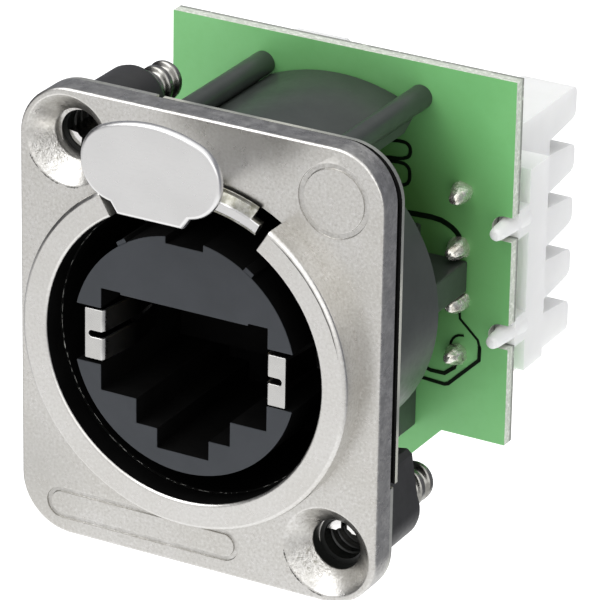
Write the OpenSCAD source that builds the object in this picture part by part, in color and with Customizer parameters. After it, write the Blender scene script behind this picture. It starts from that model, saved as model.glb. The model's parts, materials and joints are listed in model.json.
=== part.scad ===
// Panel socket for a shielded eight-way data plug, with a push latch and
// punch-down wire terminals on a board behind it.
// X runs to the right seen from the front, Y runs rearward, Z is up.
// The origin is on the socket axis, in the rear face of the flange.

/* [Flange] */
// Width of the flange
flange_w = 26; // [25.5:0.1:27]
// Height of the flange
flange_h = 31; // [30.5:0.1:32]
// Thickness of the flange plate
flange_t = 1.8; // [1.6:0.1:2.2]
// Radius of the flange corners
corner_r = 3.6; // [3:0.1:4.4]
// Distance between the screw holes across the width
hole_dx = 19; // [18.8:0.1:19.2]
// Distance between the screw holes up the height
hole_dz = 24; // [23.8:0.1:24.2]
// Radius of a screw hole
hole_r = 1.7; // [1.5:0.05:1.75]
// Radius of the countersink at the front face
sink_r = 3.05; // [2.8:0.05:3.1]

/* [Collar] */
// Inner radius of the raised collar
collar_ri = 9.9; // [9.85:0.01:10]
// Outer radius of the raised collar
collar_ro = 11.7; // [11.6:0.05:11.8]
// Height of the collar above the flange face
collar_h = 2; // [1.8:0.1:2.2]
// Half angle of the gap that the latch works in
gap_a = 31.5; // [31:0.5:33]

/* [Latch] */
// Distance of the push tab's face in front of the flange face
tab_out = 6.1; // [5.6:0.1:6.4]
// Thickness of the push tab
tab_t = 0.5; // [0.45:0.05:0.7]
// Half width of the push tab
tab_w = 4.95; // [4.8:0.05:5.1]
// Radius of the latch pivot pin
pin_r = 0.4; // [0.35:0.01:0.45]

/* [Insert] */
// Radius of the round nose
nose_r = 8.04; // [7.9:0.02:8.08]
// Width of the socket opening
socket_w = 12; // [11.8:0.1:12.2]
// Height of the socket opening above the axis
socket_top = 3.2; // [3.1:0.1:3.4]

/* [Board] */
// Distance of the board's front face behind the flange
board_y = 16.8; // [16.8:0.1:17.4]
// Thickness of the board
board_t = 1; // [0.8:0.05:1.5]
// Half width of the board
board_x = 12.65; // [12.5:0.05:13]

/* [Terminals] */
// Pitch of the wire slots
slot_pitch = 3.81; // [3.75:0.01:3.85]
// Distance of a terminal row from the socket axis
row_x = 9; // [8.9:0.05:9.1]
// Height of a terminal block behind the board
block_h = 12; // [11.6:0.1:12.4]

/* [Hidden] */
$fn = 96;
e = 0.1;
hole_x = hole_dx / 2;
hole_z = hole_dz / 2;
face_y = -flange_t;                 // front face of the flange plate
collar_y = face_y - collar_h;       // front face of the collar
barrel_ro = 10.85;
barrel_ri = collar_ri - 0.1;
barrel_front = face_y - 0.1;
barrel_back = 10.2;
floor_y = 8.6;                      // bottom of the plug channel
slot_r = 11.45;                     // top of the latch slot
hood_ro = 12.35;
hood_ri = 11.85;
hood_x = 5.2;
hood_back = 16.5;
post_x = 5.8;
post_z = 11.8;
post_r = 0.83;
plate_t = 0.46;                     // earth plate, held off the flange by a rim
plate_y = 0.45;
plate_h = flange_h - 0.55;
pad_y = plate_y - 0.02;             // rear face of the rim and of the corner pads
hood_y = plate_y + plate_t + 0.04;
lip_front = face_y - 0.9;           // lip of the latch, in front of the plate
lip_back = face_y - 0.22;
lip_ri = collar_ri - 0.05;
lip_ro = 11.55;
lip_a = 26.5;
lever_x = 1.6;
lever_z0 = 9.98;
lever_z1 = 10.6;
pivot_y = 5.5;
pivot_z = 10.75;
tab_y = face_y - tab_out;
tab_z = 14.1;                       // middle of the round ends of the tab
tab_r = 2.5;
tab_top = 17.1;
tab_rise = tab_top - tab_z - tab_r;
// arc over the tab that runs smoothly into its round ends
crown_r = (pow(tab_w - tab_r, 2) - pow(tab_rise, 2)) / (2 * tab_rise) + tab_rise + tab_r;
crown_x = (tab_w - tab_r) * crown_r / (crown_r - tab_r);
nose_y = collar_y + 0.25;
spring_y = 3.2;                     // bottom of the spring places
spring_z = 1.74;                    // half height of a shield spring
boss_r = 2.36;
boss_back = 6.8;
screw_r = 1.33;
screw_y0 = 0.48;
screw_y1 = 11.1;
back_y = board_y + board_t;
block_y = board_y + 1.6;            // plane that the terminal blocks are set out from
term_z0 = 0.1;                      // middle of a terminal row
slot_z = [for (k = [-1.5, -0.5, 0.5, 1.5]) term_z0 + k * slot_pitch];
tooth_z = [for (k = [-2 : 2]) term_z0 + k * slot_pitch];
peg_z = [term_z0 - slot_pitch, term_z0 + slot_pitch];
peg_x = 12.05;
notch_r = 0.85;                     // notch in the board's edge for a peg
wire_pitch = 1.02;
jack_pins = [for (i = [0 : 7]) [(i - 3.5) * wire_pitch, i % 2 == 0 ? -6.2 : -8.74]];

// ---- building blocks ----

// outline in X and Z, extruded from y0 to y1
module yext(y0, y1) { translate([0, y1, 0]) rotate([90, 0, 0]) linear_extrude(height = y1 - y0) children(); }
// outline in Y and Z, extruded from x0 to x1
module xext(x0, x1) { translate([x0, 0, 0]) rotate([90, 0, 90]) linear_extrude(height = x1 - x0) children(); }
// outline in X and Y, extruded from z0 to z1
module zext(z0, z1) { translate([0, 0, z0]) linear_extrude(height = z1 - z0) children(); }
// round bar along Y
module ycyl(r, y0, y1) { translate([0, y1, 0]) rotate([90, 0, 0]) cylinder(r = r, h = y1 - y0); }
// round bar along X
module xcyl(r, x0, x1) { translate([x0, 0, 0]) rotate([0, 90, 0]) cylinder(r = r, h = x1 - x0); }
// outline in radius and Y, turned about the socket axis
module yrev() { rotate([-90, 0, 0]) rotate_extrude() children(); }
module box(x0, x1, y0, y1, z0, z1) { translate([x0, y0, z0]) cube([x1 - x0, y1 - y0, z1 - z0]); }
// rounded rectangle
module rrect(w, h, r) {
    square([w - 2 * r, h], center = true);
    square([w, h - 2 * r], center = true);
    for (i = [-1, 1], j = [-1, 1]) translate([i * (w / 2 - r), j * (h / 2 - r)]) circle(r = r);
}
// bar with round ends
module stadium(x0, x1, z, r) {
    translate([x0 + r, z - r]) square([x1 - x0 - 2 * r, 2 * r]);
    for (x = [x0 + r, x1 - r]) translate([x, z]) circle(r = r);
}
// sector about the upward direction
module wedge(a) { polygon([[0, 0], [20 * sin(a), 20 * cos(a)], [-20 * sin(a), 20 * cos(a)]]); }
// square corners of the flange at the two screw places, less a gap
module screw_corners(gap) {
    translate([-flange_w / 2 - 1, 7.3 + gap]) square([flange_w / 2 - 3 - gap, 10]);
    translate([4 + gap, -17.3 - gap]) square([flange_w / 2 - 3, 10]);
}
// the two screw places, top left and bottom right
module at_screws() { for (s = [-1, 1]) translate([s * hole_x, 0, -s * hole_z]) children(); }

// ---- front ----

module flange() color([0.76, 0.75, 0.73]) difference() {
    union() {
        yext(face_y, 0) rrect(flange_w, flange_h, corner_r);
        // rim behind, round the bore, and pads under the two screw places
        ycyl(12.2, -0.1, pad_y);
        yext(-0.1, pad_y) difference() {
            intersection() {
                rrect(flange_w, flange_h, corner_r);
                screw_corners(0.15);
            }
            circle(r = 12.55);
        }
        // raised collar, bevelled outside
        yrev() polygon([[collar_ri, -0.1], [collar_ri, collar_y + 0.15], [collar_ri + 0.15, collar_y],
            [collar_ro - 0.4, collar_y], [collar_ro, collar_y + 0.4], [collar_ro, -0.1]]);
    }
    ycyl(collar_ri, collar_y - 1, 1);
    ycyl(barrel_ro + 0.1, barrel_front, 1);
    // gap in the collar and slot in the plate for the latch
    yext(collar_y - 1, face_y) wedge(gap_a);
    yext(face_y - e, 1) intersection() { wedge(gap_a); circle(r = slot_r); }
    // countersunk holes
    at_screws() {
        ycyl(hole_r, -3, 1);
        translate([0, face_y - e, 0]) rotate([-90, 0, 0])
            cylinder(r1 = sink_r + e, r2 = hole_r, h = sink_r + e - hole_r);
    }
    // round blank and long blank, each a shallow place in the face
    translate([hole_x, 0, hole_z]) difference() {
        ycyl(2.47, face_y - e, face_y + 0.14);
        ycyl(2.12, face_y - 2 * e, face_y + 1);
    }
    yext(face_y - e, face_y + 0.14) difference() {
        stadium(-11.1, 3.1, -13.4, 1.08);
        stadium(-10.8, 2.8, -13.4, 0.78);
    }
}

module push_latch() color([0.82, 0.82, 0.81]) difference() {
    union() {
        // oval tab with a tongue below
        yext(tab_y, tab_y + tab_t) {
            for (z = [tab_z - 0.15, tab_z]) stadium(-tab_w, tab_w, z, tab_r);
            intersection() {
                translate([0, tab_top - crown_r]) circle(r = crown_r);
                translate([-crown_x, tab_z]) square([2 * crown_x, 5]);
            }
            polygon([[-3.3, 12.2], [-2.3, 10.74], [2.3, 10.74], [3.3, 12.2]]);
        }
        // neck back to the lip
        box(-1.8, 1.8, tab_y + tab_t - 0.2, lip_front + 0.5, 10.8, 11.5);
        box(-1.8, 1.8, lip_front - 0.7, lip_front + 0.5, 10.3, 11.3);
        // lip that closes the gap in the collar, bevelled above, stepped below and shorter along its outer edge
        intersection() {
            yrev() polygon([[lip_ri, lip_back], [lip_ri, lip_front + 0.3], [lip_ri + 0.13, lip_front + 0.16],
                [lip_ri + 0.24, lip_front + 0.16], [lip_ri + 0.36, lip_front], [lip_ri + 0.92, lip_front],
                [lip_ro - 0.2, lip_back - 0.14], [lip_ro, lip_back - 0.1], [lip_ro, lip_back]]);
            yext(lip_front - 1, lip_back + 1) {
                intersection() { wedge(lip_a); circle(r = lip_ri + 0.98); }
                wedge(lip_a - 3.5);
            }
        }
        // lever and the hook that drops into the plug's notch
        box(-lever_x, lever_x, lip_back - 0.3, pivot_y + 0.2, lever_z0, lever_z1);
        xext(-1.5, 1.5) polygon([[lip_back - 0.1, 10.2], [-1.4, 9.5], [-0.5, 9.45], [0.1, 10.2]]);
        translate([0, pivot_y, pivot_z]) xcyl(0.66, -1.2, 1.2);
    }
    translate([0, pivot_y, pivot_z]) xcyl(pin_r + 0.03, -3, 3);
    // room for the coils of the return spring
    for (s = [-1, 1]) translate([s * 1.75, pivot_y - 0.95, 9]) translate([-0.5, 0, 0]) cube([1, 3, 3]);
}

module latch_pivot_pin() color([0.7, 0.7, 0.72]) translate([0, pivot_y, pivot_z]) xcyl(pin_r, -4.4, 4.4);

// tube swept along a list of points that run along X
function ring(c, u, v, r, n) = [for (k = [0 : n - 1]) c + r * cos(360 * k / n) * u + r * sin(360 * k / n) * v];
module tube(pts, r, n = 8) {
    m = len(pts);
    rings = [for (i = [0 : m - 1])
        let (a = pts[max(i - 1, 0)], b = pts[min(i + 1, m - 1)], t = (b - a) / norm(b - a),
            w = abs(t[0]) > 0.9 ? [0, 0, 1] : [1, 0, 0], u0 = cross(t, w), u = u0 / norm(u0), v = cross(t, u))
        each ring(pts[i], u, v, r, n)];
    polyhedron(points = rings, faces = concat(
        [[for (k = [0 : n - 1]) k]],
        [[for (k = [0 : n - 1]) (m - 1) * n + n - 1 - k]],
        [for (i = [0 : m - 2], k = [0 : n - 1])
            [i * n + k, (i + 1) * n + k, (i + 1) * n + (k + 1) % n, i * n + (k + 1) % n]]));
}

module latch_spring() color([0.6, 0.6, 0.62]) {
    turns = 3; cr = 0.58; wr = 0.09; per = 14;
    coil = [for (i = [0 : turns * per]) let (a = 360 * i / per)
        [1.4 + 0.7 * i / (turns * per), pivot_y + cr * sin(a), pivot_z - cr * cos(a)]];
    tube(coil, wr, 8);
}

module earth_plate() color([0.72, 0.75, 0.7]) yext(plate_y, plate_y + plate_t) difference() {
    union() {
        difference() {
            rrect(flange_w, plate_h, corner_r);
            screw_corners(0);
        }
        circle(r = 12.4);
    }
    circle(r = barrel_ro + 0.2);
    intersection() { wedge(gap_a); circle(r = slot_r); }
}

// ---- housing and socket ----

module rear_housing() color([0.1, 0.1, 0.1]) difference() {
    union() {
        ycyl(barrel_ro, barrel_front, barrel_back);
        // hood over the latch
        yext(hood_y, hood_back) intersection() {
            circle(r = hood_ro);
            translate([-hood_x, 9.9]) square([2 * hood_x, 4]);
        }
        // posts that the board stands on, each with a rib below
        for (s = [-1, 1]) {
            translate([s * post_x, 0, post_z]) ycyl(post_r, hood_y, board_y - 0.02);
            mirror([s < 0 ? 1 : 0, 0, 0]) xext(4.6, 6)
                polygon([[hood_y, 9], [5, 9], [6.5, 10.2], [14.2, 10.2], [15.6, 11], [hood_y, 11]]);
        }
    }
    ycyl(barrel_ri, barrel_front - 1, floor_y);
    ycyl(nose_r + 0.04, floor_y - 1, barrel_back + 0.02);
    // room for the lever
    yext(barrel_front - 1, 7.6) intersection() {
        circle(r = hood_ri);
        translate([-2.6, 9]) square([5.2, 4]);
    }
    yext(barrel_front - 1, hood_y - 0.05) wedge(gap_a);
    translate([0, pivot_y, pivot_z]) xcyl(pin_r, -4.4, 4.4);
}

// socket outline: body, plug latch step and latch slot
module socket_outline() {
    polygon([[-socket_w / 2, socket_top + 0.15], [-4.6, socket_top + 0.15], [-4.6, socket_top], [4.6, socket_top],
        [4.6, socket_top + 0.15], [socket_w / 2, socket_top + 0.15], [socket_w / 2, -3.7], [3.4, -3.7], [3.4, -5.4],
        [1.87, -5.4], [1.87, -6.75], [-1.87, -6.75], [-1.87, -5.4], [-3.4, -5.4], [-3.4, -3.7], [-socket_w / 2, -3.7]]);
}

module socket_insert() color([0.2, 0.21, 0.22]) difference() {
    union() {
        ycyl(nose_r, nose_y, barrel_back);
        // guide ribs beside the keyway
        for (s = [-1, 1]) rotate([0, s * 34, 0]) box(-0.35, 0.35, nose_y + 0.05, floor_y - 0.3, 7.5, 8.32);
    }
    yext(nose_y - 1, floor_y - 0.2) socket_outline();
    // places of the shield springs
    for (s = [-1, 1]) box(s * 7.2 - 1.3, s * 7.2 + 1.3, nose_y - 1, spring_y, -1.95, 1.95);
    // keyway at the top
    box(-1.35, 1.35, nose_y - 1, barrel_back + 1, 7.45, 9);
}

// folded spring: a face in front, two bowed fingers in the socket and a foot behind
module shield_spring() color([0.85, 0.85, 0.83]) {
    y = nose_y + 0.1;
    difference() {
        box(6.02, 7.25, y, y + 0.25, -spring_z, spring_z);
        box(5.9, 6.75, y - 1, y + 1, -0.22, 0.22);
        translate([6.75, 0, 0]) ycyl(0.22, y - 1, y + 1);
    }
    for (s = [-1, 1]) zext(s > 0 ? 0.22 : -spring_z, s > 0 ? spring_z : -0.22)
        polygon([[6.3, y], [6.02, y], [5.84, y + 0.25], [5.4, 0.2], [5.72, spring_y - 0.28], [5.72, spring_y - 0.04],
            [6.8, spring_y - 0.04], [6.8, spring_y - 0.28], [5.98, spring_y - 0.28], [5.65, 0.2], [6.08, y + 0.3], [6.3, y + 0.25]]);
    box(6.4, 6.8, spring_y - 0.28, spring_y - 0.04, -spring_z, spring_z);
}
module shield_spring_right() { translate([0, 0, -0.18]) shield_spring(); }
module shield_spring_left() { mirror([1, 0, 0]) shield_spring(); }

module contact_wires() color([0.85, 0.68, 0.3]) for (i = [0 : 7])
    let (x = (i - 3.5) * wire_pitch) xext(x - 0.2, x + 0.2)
        polygon([[7.4, 2.93], [0.5, 2.93], [0.3, 2.7], [0.5, 2.45], [5.4, 0.55], [5.5, 0.82], [0.9, 2.65], [7.4, 2.65]]);

module contact_carrier() color([0.16, 0.16, 0.17]) difference() {
    box(-socket_w / 2 + 0.05, socket_w / 2 - 0.05, 6.4, floor_y - 0.25, -3.65, socket_top - 0.05);
    for (i = [0 : 7]) let (x = (i - 3.5) * wire_pitch) box(x - 0.2, x + 0.2, 6, 7.4, 2.65, 2.93);
}

module jack_body() color([0.12, 0.12, 0.12]) {
    box(-6.1, 6.1, barrel_back + 0.02, board_y, -11.5, 3);
    for (s = [-1, 1]) box(s * 7.8 - 1.75, s * 7.8 + 1.75, barrel_back + 0.3, board_y, -1.1, 1.1);
}

// ---- board and terminals ----

module circuit_board() color([0.36, 0.68, 0.36]) yext(board_y, back_y) difference() {
    polygon([[-board_x, 14.15], [board_x, 14.15], [board_x, -11.45], [8, -11.45], [5.45, -14.1],
        [-5.45, -14.1], [-8, -11.45], [-board_x, -11.45]]);
    for (s = [-1, 1]) {
        for (z = peg_z) {
            translate([s * peg_x, z]) circle(r = notch_r);
            translate([s * (peg_x + 1), z]) square([2, 2 * notch_r], center = true);
        }
        for (z = slot_z) translate([s * row_x, z]) circle(r = 0.45);
    }
}

// solder dome of height h on the plane y = 0, pointing to -Y
module dome(r, h) {
    yrev() polygon([[0, 0], [r, 0], [0.8 * r, -0.3 * h], [0.58 * r, -0.6 * h], [0.34 * r, -0.9 * h], [0.15 * r, -h], [0, -h]]);
}
module terminal_solder_joints() color([0.8, 0.8, 0.78])
    for (s = [-1, 1], z = slot_z) translate([s * row_x, board_y, z]) dome(0.78, 1.1);
module jack_solder_joints() color([0.8, 0.8, 0.78])
    for (p = jack_pins) translate([p[0], back_y, p[1]]) rotate([0, 0, 180]) dome(0.55, 0.8);

module terminal_block() color([0.9, 0.9, 0.88]) difference() {
    y1 = block_y + 3.6;
    y2 = block_y + block_h;
    floor = y2 - 3.9;
    x0 = row_x - 2.4;
    x1 = row_x + 1.5;
    z0 = term_z0 - 2 * slot_pitch - 1.2;
    z1 = term_z0 + 2 * slot_pitch + 1.3;
    union() {
        // base on feet
        box(row_x - 3.65, row_x + 3.65, block_y + 0.9, y1, term_z0 - 7.1, term_z0 + 7.2);
        for (z = peg_z, x = [row_x - 3.65, row_x + 1.85]) box(x, x + 1.8, back_y, block_y + 1, z - 1, z + 1);
        // body and teeth
        box(x0, x1, y1 - e, floor, z0, z1);
        intersection() {
            union() {
                for (z = tooth_z) xext(x0, x1) polygon([[floor - 1, z - 1.45], [floor, z - 1.4], [y2 - 0.5, z - 1], [y2 - 0.13, z - 0.8],
                    [y2, z - 0.5], [y2, z + 0.5], [y2 - 0.13, z + 0.8], [y2 - 0.5, z + 1], [floor, z + 1.4], [floor - 1, z + 1.45]]);
                // the two end teeth are thicker outside
                for (s = [-1, 1]) let (z = term_z0 + 2 * s * slot_pitch) xext(x0, x1) polygon([[floor - 1, z], [y2, z], [y2, z + s * 0.75],
                    [y2 - 0.13, z + s * 1.1], [y2 - 0.45, z + s * 1.3], [floor - 1, z + s * 1.3]]);
            }
            box(x0 - 1, x1 + 1, floor - 2, y2 + 1, z0, z1);
        }
        // tapered pegs through the board's edge
        for (z = peg_z) translate([peg_x, 0, z]) yrev() polygon([[0, board_y - 1.4], [0.26, board_y - 1.36], [0.42, board_y - 1.18],
            [0.5, board_y - 0.8], [0.56, board_y], [0.7, block_y], [0.78, block_y + 1], [0, block_y + 1]]);
    }
    // pockets of the blades
    for (z = slot_z) box(row_x - 0.3, row_x + 0.3, block_y + 0.5, y2 - 1.5, z - 1.15, z + 1.15);
}
module terminal_block_right() { terminal_block(); }
module terminal_block_left() { mirror([1, 0, 0]) terminal_block(); }

module terminal_blades() color([0.78, 0.78, 0.76]) for (z = slot_z) {
    difference() {
        xext(row_x - 0.2, row_x + 0.2) polygon([[block_y + 1.1, z - 0.8], [block_y + 3, z - 1.05], [block_y + block_h - 2.6, z - 1.05],
            [block_y + block_h - 1.8, z - 0.6], [block_y + block_h - 2.4, z], [block_y + block_h - 1.8, z + 0.6],
            [block_y + block_h - 2.6, z + 1.05], [block_y + 3, z + 1.05], [block_y + 1.1, z + 0.8]]);
        box(row_x - 1, row_x + 1, block_y + 4.6, block_y + block_h, z - 0.16, z + 0.16);
    }
    translate([row_x, 0, z]) ycyl(0.26, board_y, block_y + 1.3);
}
module terminal_blades_right() { terminal_blades(); }
module terminal_blades_left() { mirror([1, 0, 0]) terminal_blades(); }

// ---- fixing ----

// boss with a gusset that runs up beside the barrel
module screw_boss() color([0.13, 0.13, 0.13]) difference() {
    union() {
        translate([hole_x, 0, -hole_z]) yrev()
            polygon([[0, plate_y], [boss_r, plate_y], [boss_r, boss_back - 0.5], [boss_r - 0.07, boss_back - 0.25],
                [boss_r - 0.25, boss_back - 0.07], [boss_r - 0.5, boss_back], [0, boss_back]]);
        yext(hood_y, boss_back - 0.5)
            polygon([[hole_x - 3, 3.6 - hole_z], [hole_x + 1.4, 4.3 - hole_z], [hole_x + 1.75, 4 - hole_z],
                [hole_x + 2.34, 0.2 - hole_z], [hole_x, -hole_z]]);
    }
    translate([hole_x, 0, -hole_z]) ycyl(screw_r + 0.04, -1, boss_back + 1);
    ycyl(barrel_ro + 0.1, -1, boss_back + 1);
}
module screw_boss_upper() { rotate([0, 180, 0]) screw_boss(); }
module screw_boss_lower() { screw_boss(); }

// screw with a hollow front end that is cut away on one side and slotted on the other
module panel_screw(turn) rotate([0, turn, 0]) difference() {
    yrev() polygon([[0, screw_y0], [screw_r, screw_y0], [screw_r, screw_y1 - 0.7], [screw_r - 0.55, screw_y1], [0, screw_y1]]);
    ycyl(0.72, screw_y0 - 1, screw_y0 + 3);
    box(-0.2, 0.2, screw_y0 - 1, screw_y0 + 1, 0, 2);
    box(-2, 2, screw_y0 - 1, screw_y0 + 2.4, -2, 0.45);
}
module panel_screws() color([0.55, 0.55, 0.53]) {
    translate([-hole_x, 0, hole_z]) panel_screw(-172);
    translate([hole_x, 0, -hole_z]) panel_screw(0);
}

flange();
push_latch();
latch_pivot_pin();
latch_spring();
earth_plate();
rear_housing();
socket_insert();
shield_spring_left();
shield_spring_right();
contact_wires();
contact_carrier();
jack_body();
circuit_board();
terminal_solder_joints();
jack_solder_joints();
terminal_block_left();
terminal_block_right();
terminal_blades_left();
terminal_blades_right();
screw_boss_upper();
screw_boss_lower();
panel_screws();
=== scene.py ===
import bpy, bmesh, json, math
from mathutils import Matrix, Vector, noise


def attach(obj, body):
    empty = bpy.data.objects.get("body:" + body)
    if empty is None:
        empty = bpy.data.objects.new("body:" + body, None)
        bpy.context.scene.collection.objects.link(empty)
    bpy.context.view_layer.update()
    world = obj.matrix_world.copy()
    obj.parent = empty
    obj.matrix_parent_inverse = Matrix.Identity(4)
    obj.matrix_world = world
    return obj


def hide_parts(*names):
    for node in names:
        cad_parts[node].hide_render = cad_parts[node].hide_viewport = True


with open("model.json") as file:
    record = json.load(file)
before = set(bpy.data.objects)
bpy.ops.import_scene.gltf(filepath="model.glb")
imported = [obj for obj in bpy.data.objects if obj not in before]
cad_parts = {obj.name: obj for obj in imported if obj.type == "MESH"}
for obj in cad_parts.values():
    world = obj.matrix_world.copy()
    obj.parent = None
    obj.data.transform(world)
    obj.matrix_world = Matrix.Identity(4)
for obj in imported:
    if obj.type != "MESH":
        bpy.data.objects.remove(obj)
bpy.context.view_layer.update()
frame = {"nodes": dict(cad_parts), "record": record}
N = frame["nodes"]
REC = frame["record"]
MM = 0.001
SLOT = {s["node"]: s["material_slot"] for s in REC["subparts"]}
BODY = {n: b for b, ns in REC["behaviour"]["bodies"].items() for n in ns}
SCENE = bpy.context.scene
COLL = SCENE.collection


# ---------------------------------------------------------------- camera
def make_camera():
    az, el, roll = math.radians(28.473), math.radians(24.027), math.radians(1.018)
    back = Vector((math.sin(az) * math.cos(el), -math.cos(az) * math.cos(el), math.sin(el)))
    fwd = -back
    right = fwd.cross(Vector((0, 0, 1))).normalized()
    up = right.cross(fwd)
    c, s = math.cos(roll), math.sin(roll)
    r2 = right * c + up * s
    u2 = right * -s + up * c
    pos = (r2 * 6.467 + u2 * 2.964 - fwd * 312.715) + Vector((0, -1.8, 0))
    m = Matrix((r2, u2, -fwd)).transposed().to_4x4()
    m.translation = pos * MM
    cam = bpy.data.cameras.new("camera")
    cam.sensor_width = 36
    cam.sensor_fit = "HORIZONTAL"
    cam.lens = 4976.88 * 36 / 600
    cam.clip_start, cam.clip_end = 0.01, 20
    ob = bpy.data.objects.new("camera", cam)
    COLL.objects.link(ob)
    ob.matrix_world = m
    SCENE.camera = ob
    return ob


make_camera()


# ---------------------------------------------------------------- materials
class Mat:
    """A procedural material around one Principled shader. Sizes of grain are given in millimetres."""

    def __init__(self, name, rough=0.5, metal=0.0, **fixed):
        self.m = bpy.data.materials.new(name)
        self.m.use_nodes = True
        self.nt = self.m.node_tree
        self.b = self.nt.nodes["Principled BSDF"]
        self.b.inputs["Metallic"].default_value = metal
        self.b.inputs["Roughness"].default_value = rough
        for k, v in fixed.items():
            self.b.inputs[k.replace("_", " ")].default_value = v
        self.co = self.nt.nodes.new("ShaderNodeTexCoord").outputs["Object"]

    def put(self, socket, value):
        if isinstance(value, bpy.types.NodeSocket):
            self.nt.links.new(value, socket)
        else:
            socket.default_value = value

    def grain(self, mm, detail=3.0, rough=0.55, stretch=None):
        n = self.nt.nodes.new("ShaderNodeTexNoise")
        n.inputs["Scale"].default_value = 1000.0 / mm
        n.inputs["Detail"].default_value = detail
        n.inputs["Roughness"].default_value = rough
        co = self.co
        if stretch:
            mp = self.nt.nodes.new("ShaderNodeMapping")
            mp.inputs["Scale"].default_value = stretch
            self.nt.links.new(co, mp.inputs["Vector"])
            co = mp.outputs["Vector"]
        self.nt.links.new(co, n.inputs["Vector"])
        return n.outputs["Fac"]

    def span(self, fac, a, b, c=0.0, d=1.0):
        n = self.nt.nodes.new("ShaderNodeMapRange")
        n.inputs["From Min"].default_value, n.inputs["From Max"].default_value = a, b
        n.inputs["To Min"].default_value, n.inputs["To Max"].default_value = c, d
        self.nt.links.new(fac, n.inputs["Value"])
        return n.outputs["Result"]

    def math(self, op, a, b):
        n = self.nt.nodes.new("ShaderNodeMath")
        n.operation = op
        self.put(n.inputs[0], a)
        self.put(n.inputs[1], b)
        return n.outputs[0]

    def mix(self, fac, a, b, how="MIX"):
        n = self.nt.nodes.new("ShaderNodeMix")
        n.data_type = "RGBA"
        n.blend_type = how
        self.put(n.inputs[0], fac)
        self.put(n.inputs[6], (*a, 1) if isinstance(a, tuple) else a)
        self.put(n.inputs[7], (*b, 1) if isinstance(b, tuple) else b)
        return n.outputs[2]

    def near(self, x, z, r, soft=0.15):
        """1 inside a round place of radius r about (x, z), in millimetres."""
        s = self.nt.nodes.new("ShaderNodeSeparateXYZ")
        self.nt.links.new(self.co, s.inputs[0])
        dx = self.math("SUBTRACT", s.outputs[0], x * MM)
        dz = self.math("SUBTRACT", s.outputs[2], z * MM)
        d2 = self.math("ADD", self.math("MULTIPLY", dx, dx), self.math("MULTIPLY", dz, dz))
        d = self.math("SQRT", d2, 0.0)
        return self.span(d, (r + soft) * MM, (r - soft) * MM)

    def along_y(self, y0, y1, a=0.0, b=1.0):
        """Runs from a at depth y0 to b at depth y1, in millimetres."""
        s = self.nt.nodes.new("ShaderNodeSeparateXYZ")
        self.nt.links.new(self.co, s.inputs[0])
        return self.span(s.outputs[1], y0 * MM, y1 * MM, a, b)

    def bump(self, height, depth_mm, strength=1.0, after=None):
        n = self.nt.nodes.new("ShaderNodeBump")
        n.inputs["Distance"].default_value = depth_mm * MM
        self.put(n.inputs["Strength"], strength)
        self.nt.links.new(height, n.inputs["Height"])
        if after is not None:
            self.nt.links.new(after, n.inputs["Normal"])
        return n.outputs["Normal"]

    def colour(self, v):
        self.put(self.b.inputs["Base Color"], v)

    def roughness(self, v):
        self.put(self.b.inputs["Roughness"], v)

    def normal(self, v):
        self.put(self.b.inputs["Normal"], v)


def nickel_casting():
    m = Mat("satin_nickel_casting", metal=1.0)
    big, mid, fine = m.grain(5.0, 4, 0.6), m.grain(0.9, 4, 0.62), m.grain(0.2, 3, 0.65)
    c = m.mix(m.span(big, 0.36, 0.66), (0.60, 0.585, 0.555), (0.68, 0.67, 0.655))
    c = m.mix(m.span(mid, 0.38, 0.7, 0.0, 0.75), c, (0.64, 0.63, 0.60))
    c = m.mix(m.span(fine, 0.50, 0.70, 0.0, 0.8), c, (0.50, 0.488, 0.46))
    c = m.mix(m.span(fine, 0.46, 0.34, 0.0, 0.6), c, (0.78, 0.775, 0.76))
    # darker plate at the lower left; painted light right of the tab, lifting the tab's shadow
    c = m.mix(m.math("MULTIPLY", m.near(-12.0, -11.0, 2.5, 2.5), 0.45), c, (0.46, 0.455, 0.435))
    c = m.mix(m.math("MULTIPLY", m.near(2.4, 14.3, 1.8, 1.5), 0.55), c, (0.84, 0.83, 0.80))
    # painted shade on the cast sides, in blotches of the casting's mottle, clear of the countersinks
    clear = m.math("SUBTRACT", 1.0, m.math("ADD", m.near(-9.5, 12.0, 3.2, 0.1), m.near(9.5, -12.0, 3.2, 0.1)))
    side_shade = m.math("MULTIPLY", m.math("MULTIPLY", m.along_y(-1.74, -1.56), clear), m.span(m.grain(0.7, 4, 0.7), 0.36, 0.62, 0.15, 0.85))
    c = m.mix(side_shade, c, (0.36, 0.355, 0.345))
    # painted light: the collar's front face is made lighter
    c = m.mix(m.along_y(-3.60, -3.76, 0.0, 0.35), c, (0.80, 0.79, 0.775))
    # cast skin left in the lower half of the countersinks, and worn edges of the plate
    skin = m.math("ADD", m.near(-11.1, 10.6, 1.0, 0.7), m.near(7.8, -13.5, 1.0, 0.7))
    pits = m.grain(0.34, 3, 0.7)
    c = m.mix(m.math("MULTIPLY", skin, m.span(pits, 0.56, 0.66)), c, (0.36, 0.35, 0.31))
    m.colour(c)
    m.roughness(m.span(mid, 0.3, 0.7, 0.25, 0.36))
    n = m.bump(mid, 0.018, 0.25)
    n = m.bump(fine, 0.010, 0.4, n)
    n = m.bump(pits, 0.16, m.math("MULTIPLY", skin, 0.8), n)
    n = m.bump(m.grain(0.55, 4, 0.7), 0.07, m.math("MULTIPLY", m.along_y(-1.795, -1.74), 0.45), n)
    m.normal(n)
    return m.m


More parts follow.
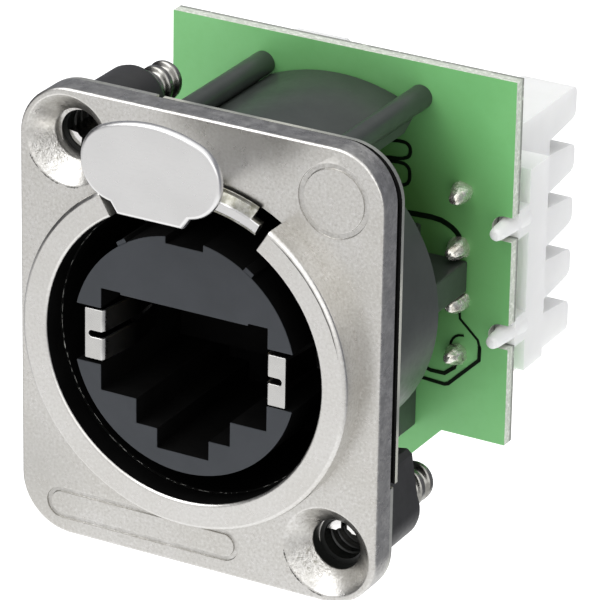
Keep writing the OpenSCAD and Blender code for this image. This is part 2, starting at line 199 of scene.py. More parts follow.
def latch_metal():
    m = Mat("bright_satin_nickel", metal=1.0)
    big, fine = m.grain(3.5, 3, 0.5), m.grain(0.16, 2, 0.5, (0.35, 1, 1))
    c = m.mix(m.span(big, 0.35, 0.65), (0.73, 0.727, 0.727), (0.77, 0.767, 0.767))
    c = m.mix(m.span(fine, 0.55, 0.75, 0.0, 0.25), c, (0.68, 0.677, 0.675))
    # painted shade, blotchy and yellowish, on the slope behind the lip
    lip_back_shade = m.math("MULTIPLY", m.along_y(-2.66, -2.60), m.span(m.grain(0.55, 4, 0.7), 0.36, 0.60, 0.6, 1.0))
    c = m.mix(lip_back_shade, c, (0.24, 0.235, 0.19))
    m.colour(c)
    m.roughness(m.span(fine, 0.3, 0.7, 0.27, 0.35))
    m.normal(m.bump(fine, 0.006, 0.2))
    return m.m


def sheet_metal(name, a, b, r0, r1, bump=0.2, metal=1.0):
    m = Mat(name, metal=metal)
    big, fine = m.grain(1.2, 3, 0.6), m.grain(0.12, 2, 0.5, (1, 0.25, 1))
    m.colour(m.mix(m.span(big, 0.35, 0.65), a, b))
    m.roughness(m.span(fine, 0.3, 0.7, r0, r1))
    m.normal(m.bump(fine, 0.005, bump))
    return m.m


def plate_metal():
    m = Mat("tinned_plate", metal=0.6)
    big, fine = m.grain(7.0, 2, 0.5), m.grain(0.12, 2, 0.5, (1, 0.25, 1))
    # dull, scuffed bright in places
    m.colour(m.mix(m.span(big, 0.44, 0.58), (0.30, 0.31, 0.29), (0.64, 0.64, 0.57)))
    m.roughness(m.span(fine, 0.3, 0.7, 0.42, 0.55))
    m.normal(m.bump(fine, 0.005, 0.2))
    return m.m


def spring_metal():
    m = Mat("bright_spring_sheet", metal=1.0)
    big, fine = m.grain(1.2, 3, 0.6), m.grain(0.12, 2, 0.5, (1, 0.25, 1))
    c = m.mix(m.span(big, 0.35, 0.65), (0.58, 0.575, 0.565), (0.63, 0.625, 0.61))
    # painted shade: darker behind the folded edge, deeper in the socket; duller there too
    m.colour(m.mix(m.along_y(-2.8, 0.2), c, (0.06, 0.06, 0.06)))
    m.roughness(m.math("ADD", m.span(fine, 0.3, 0.7, 0.25, 0.33), m.along_y(-3.3, -2.6, 0.0, 0.05)))
    m.normal(m.bump(fine, 0.005, 0.04))
    return m.m


def plastic(name, a, b, r0, r1, grain=0.12, depth=0.006, **fixed):
    m = Mat(name, **fixed)
    big, fine = m.grain(2.5, 3, 0.6), m.grain(grain, 2, 0.5)
    m.colour(m.mix(m.span(big, 0.35, 0.65), a, b))
    m.roughness(m.span(m.grain(0.6, 3, 0.6), 0.3, 0.7, r0, r1))
    m.normal(m.bump(fine, depth, 0.35))
    return m.m


def board_face():
    m = Mat("green_solder_resist", Specular_IOR_Level=0.4)
    big, mid = m.grain(7.0, 2, 0.5), m.grain(0.8, 3, 0.6)
    c = m.mix(m.span(big, 0.35, 0.65), (0.195, 0.535, 0.195), (0.22, 0.575, 0.22))
    c = m.mix(m.span(mid, 0.45, 0.75, 0.0, 0.3), c, (0.18, 0.50, 0.165))
    # painted shadow of the barrel and hood over the middle of the board
    c = m.mix(m.math("MULTIPLY", m.near(1.0, 1.5, 9.8, 4.0), 0.9), c, (0.055, 0.15, 0.03))
    m.colour(c)
    m.roughness(m.span(mid, 0.3, 0.7, 0.30, 0.42))
    warp, weft = m.grain(0.3, 1, 0.4, (1, 1, 0.12)), m.grain(0.3, 1, 0.4, (0.12, 1, 1))
    m.normal(m.bump(m.math("ADD", warp, weft), 0.006, 0.25))
    return m.m


def board_edge():
    m = Mat("cut_glass_laminate", rough=0.75)
    layers, chips = m.grain(0.28, 2, 0.5, (0.3, 4, 0.3)), m.grain(0.30, 3, 0.75)
    c = m.mix(m.span(layers, 0.38, 0.62), (0.46, 0.50, 0.43), (0.62, 0.66, 0.58))
    c = m.mix(m.span(chips, 0.48, 0.66, 0.0, 0.8), c, (0.84, 0.86, 0.80))
    # darker resist along the far rim
    rim = m.math("MULTIPLY", m.along_y(17.42, 17.62), m.span(m.grain(0.6, 3, 0.7), 0.30, 0.46))
    c = m.mix(m.math("MULTIPLY", rim, 0.85), c, (0.16, 0.17, 0.155))
    m.colour(c)
    m.normal(m.bump(chips, 0.05, 0.6))
    return m.m


def white_plastic():
    m = Mat("natural_white_plastic", Subsurface_Weight=0.7, Subsurface_Scale=0.0018)
    m.b.inputs["Subsurface Radius"].default_value = (1.0, 1.0, 0.95)
    big, fine = m.grain(3.0, 3, 0.5), m.grain(0.15, 2, 0.5)
    m.colour(m.mix(m.span(big, 0.35, 0.65), (0.82, 0.82, 0.815), (0.855, 0.855, 0.85)))
    m.roughness(m.span(m.grain(0.8, 3, 0.6), 0.3, 0.7, 0.34, 0.46))
    m.normal(m.bump(fine, 0.005, 0.3))
    return m.m


def solder_metal():
    m = Mat("solder", metal=0.85)
    mid, fine = m.grain(0.5, 3, 0.6), m.grain(0.1, 2, 0.5)
    m.colour(m.mix(m.span(mid, 0.35, 0.65), (0.62, 0.59, 0.51), (0.88, 0.87, 0.82)))
    m.roughness(m.span(mid, 0.3, 0.7, 0.15, 0.32))
    m.normal(m.bump(fine, 0.008, 0.3, m.bump(mid, 0.10, 0.7)))
    return m.m


def screw_metal():
    m = Mat("zinc_plated_steel", metal=1.0)
    mid, fine = m.grain(0.7, 3, 0.6), m.grain(0.12, 2, 0.5)
    c = m.mix(m.span(mid, 0.35, 0.65), (0.25, 0.245, 0.23), (0.40, 0.395, 0.37))
    # bare bright end face
    c = m.mix(m.along_y(0.60, 0.50), c, (0.93, 0.92, 0.91))
    m.colour(c)
    m.roughness(m.span(fine, 0.3, 0.7, 0.14, 0.26))
    m.normal(m.bump(fine, 0.005, 0.2))
    return m.m


def dark_track():
    m = Mat("dark_track", rough=0.4)
    m.colour(m.mix(m.span(m.grain(0.5, 3, 0.6), 0.35, 0.65), (0.002, 0.006, 0.002), (0.004, 0.011, 0.004)))
    m.b.inputs["Specular IOR Level"].default_value = 0.1
    m.normal(m.bump(m.grain(0.1, 2, 0.5), 0.004, 0.3))
    return m.m


M = {
    "nickel_casting": nickel_casting(),
    "latch_metal": latch_metal(),
    "steel_pin": sheet_metal("ground_steel", (0.56, 0.56, 0.57), (0.64, 0.64, 0.65), 0.22, 0.32),
    "spring_steel": sheet_metal("spring_wire", (0.45, 0.45, 0.47), (0.55, 0.55, 0.57), 0.25, 0.35),
    "tinned_sheet": sheet_metal("tinned_sheet", (0.68, 0.68, 0.61), (0.77, 0.77, 0.71), 0.28, 0.40),
    "plate_metal": plate_metal(),
    "spring_sheet": spring_metal(),
    "black_plastic": plastic("black_moulding", (0.031, 0.037, 0.033), (0.039, 0.046, 0.041), 0.28, 0.38, Specular_IOR_Level=0.6),
    "grey_black_plastic": plastic("dark_grey_moulding", (0.029, 0.033, 0.039), (0.034, 0.038, 0.045), 0.40, 0.50, Specular_IOR_Level=0.35),
    # painted shade: near-black colour for faces deep in the socket, the barrel, the collar's bore and the gap behind
    # the flange
    "recess": plastic("painted_recess_shade", (0.003, 0.003, 0.003), (0.0045, 0.0045, 0.0045), 0.55, 0.7, Specular_IOR_Level=0.06),
    # painted shade: darker than the boss moulding, for the screw bores, their thread turns and the lower hole's wall
    "shaded_bore": plastic("shaded_bore", (0.010, 0.011, 0.010), (0.014, 0.015, 0.014), 0.30, 0.42, Specular_IOR_Level=0.5),
    # painted shade: darkened nickel for the wall of the upper hole
    "hole_wall": sheet_metal("shaded_hole_wall", (0.20, 0.195, 0.18), (0.30, 0.295, 0.28), 0.35, 0.45),
    # painted shadow: dark colour for thin shadow lines drawn as strips
    "dark_line": plastic("painted_shadow_line", (0.055, 0.053, 0.048), (0.12, 0.118, 0.11), 0.45, 0.6),
    # painted highlight: light flecks standing for glints on the barrel's rim
    "rim_glint": plastic("painted_glint_edge", (0.30, 0.30, 0.28), (0.62, 0.62, 0.59), 0.35, 0.5),
    "boss_plastic": plastic("boss_moulding", (0.016, 0.016, 0.016), (0.022, 0.022, 0.022), 0.34, 0.46),
    "contact_gold": sheet_metal("gold_plate", (0.82, 0.60, 0.24), (0.88, 0.68, 0.32), 0.18, 0.28),
    "green_board": board_face(),
    "board_edge": board_edge(),
    "solder": solder_metal(),
    "white_plastic": white_plastic(),
    "screw_steel": screw_metal(),
    "dark_track": dark_track(),
}


# ---------------------------------------------------------------- mesh helpers, all in millimetres
def take(node):
    """Copy of a CAD node's mesh with its flat faces merged."""
    bm = bmesh.new()
    bm.from_mesh(N[node].data)
    bmesh.ops.scale(bm, vec=(1000, 1000, 1000), verts=bm.verts)
    bmesh.ops.remove_doubles(bm, verts=bm.verts, dist=0.002)
    bmesh.ops.dissolve_limit(bm, angle_limit=0.01, verts=bm.verts, edges=bm.edges)
    return bm


def sharp(bm, where=None, deg=26):
    out = []
    for e in bm.edges:
        if len(e.link_faces) == 2 and e.calc_face_angle(0) > math.radians(deg):
            if where is None or where(*((e.verts[0].co + e.verts[1].co) / 2)):
                out.append(e)
    return out


def round_edges(bm, width, seg=2, where=None, deg=26, clamp=True):
    es = sharp(bm, where, deg)
    if es:
        bmesh.ops.bevel(bm, geom=es, offset=width, offset_type="OFFSET", segments=seg, profile=0.5,
                        affect="EDGES", clamp_overlap=clamp, loop_slide=True)
    return len(es)


def add_object(bm, name, mats, weighted=True, crease=38):
    bmesh.ops.dissolve_degenerate(bm, dist=0.0001, edges=bm.edges)
    bmesh.ops.recalc_face_normals(bm, faces=bm.faces)
    for f in bm.faces:
        f.smooth = True
    for e in bm.edges:
        e.smooth = not (len(e.link_faces) == 2 and e.calc_face_angle(0) > math.radians(crease))
    bmesh.ops.scale(bm, vec=(MM, MM, MM), verts=bm.verts)
    me = bpy.data.meshes.new(name)
    bm.to_mesh(me)
    bm.free()
    for m in mats:
        me.materials.append(m)
    ob = bpy.data.objects.new(name, me)
    COLL.objects.link(ob)
    if weighted:
        w = ob.modifiers.new("weighted_normals", "WEIGHTED_NORMAL")
        w.keep_sharp = True
        w.weight = 80
    return ob


def stand_for(bm, node, mats=None, name=None, weighted=True):
    """Puts a finished mesh in the place of a CAD node."""
    ob = add_object(bm, name or node + "_finish", mats or [M[SLOT[node]]], weighted)
    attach(ob, BODY[node])
    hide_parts(node)
    return ob


def lathe(bm, prof, cx, cz, n=64, closed=True):
    """Turns a profile of (radius, y) about the Y direction through (cx, cz)."""
    rings = []
    for r, y in prof:
        if r < 1e-6:
            rings.append([bm.verts.new((cx, y, cz))])
        else:
            rings.append([bm.verts.new((cx + r * math.cos(2 * math.pi * k / n), y, cz + r * math.sin(2 * math.pi * k / n)))
                          for k in range(n)])
    m = len(rings)
    for i in range(m if closed else m - 1):
        a, b = rings[i], rings[(i + 1) % m]
        for k in range(n):
            q = (k + 1) % n
            if len(a) == 1 and len(b) == 1:
                break
            if len(a) == 1:
                bm.faces.new((a[0], b[k], b[q]))
            elif len(b) == 1:
                bm.faces.new((a[k], a[q], b[0]))
            else:
                bm.faces.new((a[k], a[q], b[q], b[k]))


def rrect_out(x, z, w, h, r):
    """Signed distance to a rounded rectangle."""
    qx, qz = abs(x) - (w / 2 - r), abs(z) - (h / 2 - r)
    return math.hypot(max(qx, 0), max(qz, 0)) + min(max(qx, qz), 0) - r


HOLES = ((-9.5, 12.0), (9.5, -12.0))


def hole_d(x, z):
    return min(math.hypot(x - a, z - b) for a, b in HOLES)


# ---------------------------------------------------------------- flange
def burr(bm, cx, cz, a0, a1, w, ya, yb, r=1.71, n=36):
    """Crescent that narrows a hole by up to w, from the angle a0 at depth ya to the angle a1 at depth yb."""
    rows = []
    for i in range(n + 1):
        t = i / n
        a = math.radians(a0 + (a1 - a0) * t)
        q = r - 0.004 - w * math.sin(math.pi * t) ** 0.7
        y0 = ya + (yb - ya) * t
        y1 = y0 + 0.07
        rows.append([bm.verts.new((cx + k * math.cos(a), y, cz + k * math.sin(a))) for k, y in ((r, y0), (q, y0 + 0.015), (q, y1), (r, y1))])
    for p, q in zip(rows, rows[1:]):
        for k in range(4):
            bm.faces.new((p[k], p[(k + 1) % 4], q[(k + 1) % 4], q[k]))
    bm.faces.new(rows[0])
    bm.faces.new(rows[-1][::-1])


def build_flange():
    bm = take("flange")
    on_edge = lambda x, y, z: abs(rrect_out(x, z, 26, 31, 3.6)) < 0.03
    rad = lambda x, z: math.hypot(x, z)
    # outer edges of the plate
    round_edges(bm, 0.20, 3, lambda x, y, z: abs(y + 1.8) < 0.02 and on_edge(x, y, z))
    round_edges(bm, 0.06, 2, lambda x, y, z: y > -0.05 and on_edge(x, y, z))
    # countersinks
    round_edges(bm, 0.08, 3, lambda x, y, z: abs(y + 1.8) < 0.02 and abs(hole_d(x, z) - 3.05) < 0.06)
    round_edges(bm, 0.06, 2, lambda x, y, z: -1.0 < y < 0.2 and hole_d(x, z) < 2.0)
    # shallow grooves of the two blank places
    round_edges(bm, 0.055, 2, lambda x, y, z: -1.82 < y < -1.6 and (math.hypot(x - 9.5, z - 12) < 2.6 or (z < -12 and x < 3.3 and hole_d(x, z) > 3.3 and rrect_out(x, z, 26, 31, 3.6) < -0.5)))
    # collar, with a narrow bevel
    for v in bm.verts:
        r = rad(v.co.x, v.co.z)
        if abs(r - 11.3) < 0.03 and abs(v.co.y + 3.8) < 0.01:
            v.co.x *= 11.48 / r
            v.co.z *= 11.48 / r
        elif abs(r - 11.7) < 0.03 and abs(v.co.y + 3.4) < 0.01:
            v.co.y = -3.58
    round_edges(bm, 0.07, 2, lambda x, y, z: y < -1.85, deg=20)
    # corner pads behind the plate have a skin of their own
    bmesh.ops.bisect_plane(bm, geom=bm.verts[:] + bm.edges[:] + bm.faces[:], plane_co=(0, 0.02, 0), plane_no=(0, 1, 0))
    # painted shade on the hole walls and the collar's bore, the pads' own tinned skin, and a thin burr at the back of
    # each hole, on one side only
    bm.normal_update()
    for f in bm.faces:
        c = f.calc_center_median()
        if hole_d(c.x, c.z) < 1.8 and abs(f.normal.y) < 0.4 and c.y > -0.4:
            f.material_index = 3 if c.z > 0 else 4
        elif rad(c.x, c.z) < 9.93 and abs(f.normal.y) < 0.3:
            f.material_index = 1
        elif c.y > 0.03 and rad(c.x, c.z) > 12.6:
            f.material_index = 2
    burr(bm, *HOLES[0], 76, 214, 0.27, -0.37, 0.05)
    burr(bm, *HOLES[1], 130, 200, 0.08, 0.34, 0.34)
    return stand_for(bm, "flange", [M["nickel_casting"], M["recess"], M["tinned_sheet"], M["hole_wall"], M["shaded_bore"]])


build_flange()


def arc_line(bm, cx, cz, r, w, a0, a1, y, lift, seed, rag=0.5, n=60):
    """Thin uneven line along an arc, standing a little above the plane y."""
    rows = []
    for i in range(n + 1):
        t = i / n
        a = math.radians(a0 + (a1 - a0) * t)
        k = min(1, 5 * t, 5 * (1 - t)) * (1 + rag * noise.noise(Vector((t * 17 + seed, seed * 2.3, 0.4))))
        h = max(w * k / 2, 0.004)
        off = 0.25 * rag * w * noise.noise(Vector((t * 11, seed, 5.1)))
        rows.append([bm.verts.new((cx + q * math.cos(a), yy, cz + q * math.sin(a)))
                     for q, yy in ((r + off - h, y + 0.02), (r + off - h * 0.8, y - lift), (r + off + h * 0.8, y - lift), (r + off + h, y + 0.02))])
    for p, q in zip(rows, rows[1:]):
        for k in range(4):
            bm.faces.new((p[k], p[(k + 1) % 4], q[(k + 1) % 4], q[k]))
    bm.faces.new(rows[0])
    bm.faces.new(rows[-1][::-1])


# painted shadow lines: dark strips on the collar's upper right and round the lower-left rims of the countersinks
def build_lines():
    bm = bmesh.new()
    arc_line(bm, 0, 0, 11.40, 0.10, 13, 57, -3.8, 0.006, 2.0, 0.6)
    for i, (a0, a1, h) in enumerate(((206, 228, 0), (231, 262, 0), (266, 286, 0), (190, 207, 1), (211, 240, 1), (246, 268, 1))):
        arc_line(bm, *HOLES[h], 3.13, 0.08, a0, a1, -1.8, 0.008, 3.0 + i, 1.3)
    ob = add_object(bm, "edge_lines", [M["dark_line"]], weighted=False)
    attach(ob, BODY["flange"])


def build_rim_glints():
    """Painted glints along the front edge of the barrel."""
    bm = bmesh.new()
    a, k = 138.0, 0
    while a < 318:
        v = noise.noise(Vector((k * 1.37, 7.7, 0.3)))
        u = noise.noise(Vector((k * 2.11, 1.9, 4.4)))
        step = 0.3 + 9.0 * u * u + (1.2 if a < 215 else 0.0)
        if v > -0.12:
            arc_line(bm, 0, 0, 9.85 + 0.05 * u, 0.015 + 0.09 * v * v, a, a + step, -1.895, 0.025, 10.0 + k, 1.4, 12)
        a += step + 0.2 + 14.0 * noise.noise(Vector((k * 0.93, 3.1, 8.2))) ** 2
        k += 1
    ob = add_object(bm, "barrel_rim_glints", [M["rim_glint"]], weighted=False)
    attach(ob, BODY["rear_housing"])


build_lines()
build_rim_glints()


# ---------------------------------------------------------------- latch
def build_latch():
    bm = take("push_latch")
    round_edges(bm, 0.28, 4, lambda x, y, z: abs(y + 7.9) < 0.02)
    round_edges(bm, 0.10, 2, lambda x, y, z: abs(y + 7.4) < 0.02 and z > 12.15)
    round_edges(bm, 0.05, 2, lambda x, y, z: -3.6 < y < -1.9 and z > 9)
    return stand_for(bm, "push_latch")


build_latch()


# ---------------------------------------------------------------- plain mouldings and sheets
def soften(node, width, seg=2, where=None, mats=None, deg=26, recess=None):
    """Rounded copy of a CAD node. Faces for which recess(x, y, z, normal) holds get the second material."""
    bm = take(node)
    round_edges(bm, width, seg, where, deg)
    if recess:
        bm.normal_update()
        for f in bm.faces:
            c = f.calc_center_median()
            f.material_index = 1 if recess(c.x, c.y, c.z, f.normal) else 0
    return stand_for(bm, node, mats)


def inside_barrel(x, y, z, n):
    r = math.hypot(x, z)
    return y < 8.7 and r < 10.45 or (y < 7.7 and abs(x) < 2.7 and r < 11.9 and z > 9)


def build_housing():
    bm = take("rear_housing")
    long_edge = lambda x, y, z: abs(math.hypot(x, z) - 12.35) < 0.1 and abs(abs(x) - 5.2) < 0.05
    round_edges(bm, 0.26, 4, long_edge)
    round_edges(bm, 0.09, 2, lambda x, y, z: not (2 < y < 8 and abs(x) < 5 and z > 8.5) and abs(abs(x) - 5.0) > 0.35)
    # painted shade: the inside of the barrel and the slot above it take the recess material
    bm.normal_update()
    for f in bm.faces:
        c = f.calc_center_median()
        f.material_index = 1 if inside_barrel(c.x, c.y, c.z, f.normal) else 0
    return stand_for(bm, "rear_housing", [M["black_plastic"], M["recess"]])


build_housing()


def build_plate():
    bm = take("earth_plate")
    front = min(v.co.y for v in bm.verts)
    round_edges(bm, 0.13, 1, lambda x, y, z: abs(y - front) < 0.01 and math.hypot(x, z) > 12.2)
    # painted shadow: the plate's front faces, in the gap behind the flange, take the recess material
    bm.normal_update()
    for f in bm.faces:
        f.material_index = 1 if f.normal.y < -0.2 else 0
    return stand_for(bm, "earth_plate", [M["plate_metal"], M["recess"]])


build_plate()
# painted shade: the insides of the socket take the recess material
soften("socket_insert", 0.09, 2, mats=[M["grey_black_plastic"], M["recess"]],
       recess=lambda x, y, z, n: n.y > -0.25 or y > -3.3)
soften("shield_spring_left", 0.07, 3)
soften("shield_spring_right", 0.07, 3)
soften("contact_wires", 0.06)
# painted shade: the contact carrier, deep in the socket, is all in the recess material
soften("contact_carrier", 0.10, mats=[M["recess"]])
soften("jack_body", 0.14, 3)
soften("terminal_block_left", 0.10, 3)
soften("terminal_block_right", 0.10, 3)
soften("terminal_blades_left", 0.03)
soften("terminal_blades_right", 0.03)


# ---------------------------------------------------------------- board
def build_board():
    bm = take("circuit_board")
    round_edges(bm, 0.05, 2, lambda x, y, z: True)
    for f in bm.faces:
        f.normal_update()
        f.material_index = 0 if abs(f.normal.y) > 0.8 else 1
    return stand_for(bm, "circuit_board", [M["green_board"], M["board_edge"]])


build_board()


def strip(bm, pts, w, y0, h, smooth=0):
    """Raised track along points (x, z) on the plane y0, standing h towards -Y."""
    for _ in range(smooth):
        out = [pts[0]]
        for a, b in zip(pts, pts[1:]):
            out += [(a[0] * 0.75 + b[0] * 0.25, a[1] * 0.75 + b[1] * 0.25), (a[0] * 0.25 + b[0] * 0.75, a[1] * 0.25 + b[1] * 0.75)]
        pts = out + [pts[-1]]
    p = [Vector(q) for q in pts]
    rows = []
    for i, c in enumerate(p):
        a = (c - p[i - 1]).normalized() if i else (p[1] - c).normalized()
        b = (p[i + 1] - c).normalized() if i < len(p) - 1 else a
        t = (a + b).normalized()
        n = Vector((-t.y, t.x)) / max(t.dot(a), 0.5)
        row = []
        for k, hh in ((-w / 2, 0.0), (-w / 2, 0.7 * h), (-w / 2 + 0.3 * h, h), (w / 2 - 0.3 * h, h), (w / 2, 0.7 * h), (w / 2, 0.0)):
            q = c + n * k
            row.append(bm.verts.new((q.x, y0 - hh, q.y)))
        rows.append(row)
    for a, b in zip(rows, rows[1:]):
        for k in range(6):
            q = (k + 1) % 6
            bm.faces.new((a[k], a[q], b[q], b[k]))
    bm.faces.new(rows[0])
    bm.faces.new(rows[-1][::-1])


def build_tracks():
    bm = bmesh.new()
    y0, h = 16.8, 0.05
    for s in (1, -1):
        mir = lambda pts: [(s * x, z) for x, z in pts]
        strip(bm, mir([(2.6, 8.1), (4.3, 8.45), (5.1, 8.35), (5.2, 7.55), (4.6, 7.2), (3.3, 7.1), (3.2, 6.8), (4.5, 6.98),
                       (5.1, 6.75), (5.2, 5.9), (4.9, 5.4), (3.4, 5.1)]), 0.24, y0, h, 2)
        strip(bm, mir([(4.9, 3.5), (5.4, 3.57), (7.3, 3.62), (8.2, 3.3), (8.8, 2.85), (8.95, 2.4)]), 0.38, y0, h, 1)
        strip(bm, mir([(9.05, -2.3), (9.12, -3.1), (10.48, -4.35), (10.62, -4.9)]), 0.17, y0, h)
        strip(bm, mir([(10.58, -4.75), (10.62, -4.9), (10.6, -5.75), (8.4, -7.95), (8.1, -8.05), (6.4, -7.95)]), 0.25, y0, h)
        strip(bm, mir([(9.0, -6.1), (8.8, -6.7), (8.1, -7.27), (7.1, -7.28), (6.4, -7.1)]), 0.27, y0, h)
        strip(bm, mir([(9.45, -4.25), (8.95, -4.32), (8.55, -4.75), (8.42, -5.4)]), 0.16, y0, h, 1)
    ob = add_object(bm, "board_tracks", [M["dark_track"]])
    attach(ob, BODY["circuit_board"])


build_tracks()


# ---------------------------------------------------------------- solder
def joint(bm, x, y, z, r, h, side, seed):
    """A soldered lead: uneven concave cone with the cut wire end on top."""
    prof = [(1.0, -0.02), (0.98, 0.08), (0.93, 0.22), (0.86, 0.38), (0.77, 0.55), (0.66, 0.70), (0.55, 0.84), (0.43, 0.94), (0.28, 1.01), (0.0, 1.03)]
    n = 36
    lean = Vector((noise.noise(Vector((seed, 1.7, 0))), 0, noise.noise(Vector((seed, 0, 4.1))))) * 0.35 * r
    rings = []
    for pr, ph in prof:
        if pr == 0:
            rings.append([bm.verts.new((x + lean.x, y + side * h * ph, z + lean.z))])
            continue
        row = []
        for k in range(n):
            a = 2 * math.pi * k / n
            d = Vector((math.cos(a), 0, math.sin(a)))
            wob = 1 + 0.22 * noise.noise(d * 0.9 + Vector((seed * 3.1, ph * 1.3, 0))) + 0.13 * noise.noise(d * 2.2 + Vector((0, ph * 2.2, seed)))
            up = h * ph * (1 + 0.10 * noise.noise(d * 0.8 + Vector((seed, 9, 0)))) if ph > 0.1 else h * ph
            q = d * (r * pr * wob)
            row.append(bm.verts.new((x + q.x + lean.x * max(ph, 0), y + side * up, z + q.z + lean.z * max(ph, 0))))
        rings.append(row)
    for a, b in zip(rings, rings[1:]):
        for k in range(n):
            q = (k + 1) % n
            if len(b) == 1:
                bm.faces.new((a[k], a[q], b[0]))
            else:
                bm.faces.new((a[k], a[q], b[q], b[k]))
    bm.faces.new(rings[0])


def build_solder():
    bm = bmesh.new()
    for i, s in enumerate((1, -1)):
        for k in range(4):
            joint(bm, s * 9.0, 16.8, 0.1 + (k - 1.5) * 3.81, 0.74, 1.45, -1, 1.3 + 2.17 * k + 11 * i)
    stand_for(bm, "terminal_solder_joints", weighted=False)
    bm = bmesh.new()
    for k in range(8):
        joint(bm, (k - 3.5) * 1.02, 17.8, -6.2 if k % 2 == 0 else -8.74, 0.56, 0.78, 1, 31.7 + 1.9 * k)
    stand_for(bm, "jack_solder_joints", weighted=False)


build_solder()


# ---------------------------------------------------------------- bosses and screws
def build_boss(node, cx, cz):
    bm = take(node)
    round_edges(bm, 0.16, 3, lambda x, y, z: math.hypot(x - cx, z - cz) > 2.0 and y > 0.6, deg=35)
    bm.normal_update()
    # painted shade: the bore, its thread turns and the front face take the shaded bore material
    for f in bm.faces:
        c = f.calc_center_median()
        r = math.hypot(c.x - cx, c.z - cz)
        f.material_index = 2 if (r < 1.5 and abs(f.normal.y) < 0.9) or (f.normal.y < -0.8 and c.y < 0.6) else 0
    # turns of the thread in the bore
    old = set(bm.faces)
    for y in (1.3, 2.05, 2.8):
        lathe(bm, [(1.40, y), (1.27, y + 0.08), (1.25, y + 0.11), (1.27, y + 0.14), (1.40, y + 0.22)], cx, cz, 60)
    for f in bm.faces:
        if f not in old:
            f.material_index = 2
    return stand_for(bm, node, [M["boss_plastic"], M["recess"], M["shaded_bore"]])


build_boss("screw_boss_upper", *HOLES[0])
build_boss("screw_boss_lower", *HOLES[1])


def build_screws():
    bm = take("panel_screws")
    # plain front end with its recess and slot
    bmesh.ops.bisect_plane(bm, geom=bm.verts[:] + bm.edges[:] + bm.faces[:], plane_co=(0, 3.6, 0), plane_no=(0, 1, 0), clear_outer=True)
    bmesh.ops.holes_fill(bm, edges=[e for e in bm.edges if len(e.link_faces) == 1])
    round_edges(bm, 0.05, 2, lambda x, y, z: y < 0.55)
    # threaded shank
    n, pitch, r_top, r_root, y0, y1 = 48, 1.12, 1.33, 0.96, 3.61, 11.1
    steps = 150
    for cx, cz in HOLES:
        rings = []
        for i in range(steps + 1):
            y = y0 + (y1 - y0) * i / steps
            row = []
            for k in range(n):
                a = 2 * math.pi * k / n
                ph = ((y / pitch) - k / n) % 1.0
                t = abs(ph - 0.5) * 2
                f = min(max((t - 0.22) / 0.5, 0), 1)
                f = f * f * (3 - 2 * f)
                r = r_root + (r_top - r_root) * f
                r = min(r, 0.78 + (y1 - y) * 0.78)
                row.append(bm.verts.new((cx + r * math.cos(a), y, cz + r * math.sin(a))))
            rings.append(row)
        for a, b in zip(rings, rings[1:]):
            for k in range(n):
                q = (k + 1) % n
                bm.faces.new((a[k], a[q], b[q], b[k]))
        bm.faces.new(rings[0])
        bm.faces.new(rings[-1])
    return stand_for(bm, "panel_screws", weighted=False)


build_screws()

for node in ("latch_pivot_pin", "latch_spring"):
    N[node].data.materials.clear()
    N[node].data.materials.append(M[SLOT[node]])

# ---------------------------------------------------------------- stage and light
me = bpy.data.meshes.new("floor")
bm = bmesh.new()
bmesh.ops.create_grid(bm, x_segments=1, y_segments=1, size=3)
bm.to_mesh(me)
bm.free()
floor = bpy.data.objects.new("floor", me)
COLL.objects.link(floor)
floor.location = (0, 0, -0.045)
fm = Mat("white_floor", rough=0.8)
fm.colour(fm.mix(fm.span(fm.grain(40, 2, 0.5), 0.3, 0.7), (0.90, 0.90, 0.90), (0.92, 0.92, 0.92)))
fm.b.inputs["Emission Color"].default_value = (1, 1, 1, 1)
fm.b.inputs["Emission Strength"].default_value = 0.40
floor.data.materials.append(fm.m)
floor.visible_glossy = False


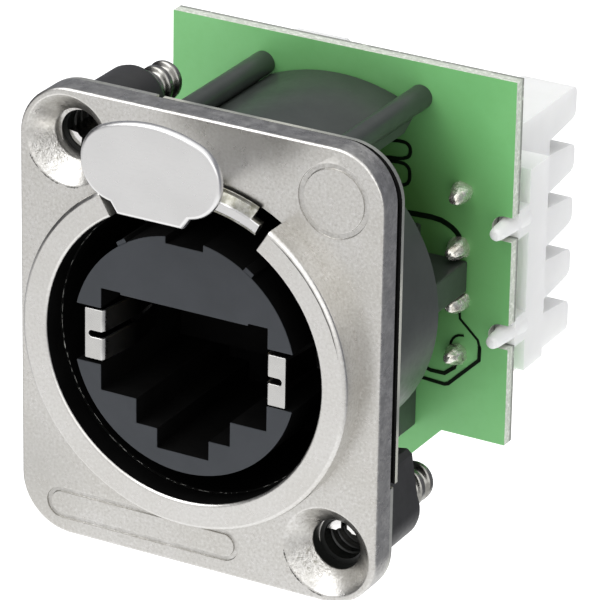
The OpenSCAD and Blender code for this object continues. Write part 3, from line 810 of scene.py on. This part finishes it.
def studio():
    w = bpy.data.worlds.new("studio")
    SCENE.world = w
    w.use_nodes = True
    nt = w.node_tree
    bg = nt.nodes["Background"]
    co = nt.nodes.new("ShaderNodeTexCoord").outputs["Generated"]
    sep = nt.nodes.new("ShaderNodeSeparateXYZ")
    nt.links.new(co, sep.inputs[0])

    def span(v, a, b):
        n = nt.nodes.new("ShaderNodeMapRange")
        n.interpolation_type = "SMOOTHSTEP"
        n.inputs["From Min"].default_value, n.inputs["From Max"].default_value = a, b
        nt.links.new(v, n.inputs["Value"])
        return n.outputs["Result"]

    def mix(f, a, b):
        n = nt.nodes.new("ShaderNodeMix")
        n.data_type = "RGBA"
        nt.links.new(f, n.inputs[0])
        for s, v in ((n.inputs[6], a), (n.inputs[7], b)):
            if isinstance(v, tuple):
                s.default_value = (*v, 1)
            else:
                nt.links.new(v, s)
        return n.outputs[2]

    skew = nt.nodes.new("ShaderNodeMath")
    skew.operation = "MULTIPLY_ADD"
    nt.links.new(sep.outputs[0], skew.inputs[0])
    skew.inputs[1].default_value = 0.35
    nt.links.new(sep.outputs[1], skew.inputs[2])
    c = mix(span(skew.outputs[0], 0.25, -0.2), (0.25, 0.255, 0.28), (0.87, 0.865, 0.86))
    side = nt.nodes.new("ShaderNodeMath")
    side.operation = "MULTIPLY"
    nt.links.new(span(sep.outputs[0], -0.62, -0.86), side.inputs[0])
    nt.links.new(span(sep.outputs[2], -0.30, -0.10), side.inputs[1])
    c = mix(side.outputs[0], c, (0.07, 0.07, 0.075))
    c = mix(span(sep.outputs[2], 0.45, 0.95), c, (1.25, 1.25, 1.25))
    c = mix(span(sep.outputs[2], -0.42, -0.70), c, (1.25, 1.25, 1.25))
    lp = nt.nodes.new("ShaderNodeLightPath")
    c = mix(lp.outputs["Is Camera Ray"], c, (1.0, 1.0, 1.0))
    nt.links.new(c, bg.inputs[0])
    bg.inputs[1].default_value = 1.0


studio()


def softbox(name, direction, dist, size, radiance, colour=(1, 1, 1)):
    l = bpy.data.lights.new(name, "AREA")
    l.shape = "RECTANGLE"
    l.size, l.size_y = size
    l.energy = radiance * math.pi * size[0] * size[1]
    l.color = colour
    ob = bpy.data.objects.new(name, l)
    COLL.objects.link(ob)
    d = Vector(direction).normalized()
    ob.location = d * dist
    ob.rotation_euler = (-d).to_track_quat("-Z", "Y").to_euler()
    return ob


softbox("softbox_top", (-0.38, -0.42, 0.82), 0.6, (0.45, 0.45), 2.6)
# cards that only show as reflections in the metal
for ob in (softbox("card_right", (0.591, -0.656, 0.469), 0.5, (0.36, 0.50), 0.8),
           softbox("card_front", (-0.33, -0.73, -0.60), 0.058, (0.06, 0.028), 0.12)):
    ob.visible_diffuse = False
    ob.visible_camera = False

SCENE.view_settings.view_transform = "Standard"
SCENE.view_settings.look = "None"
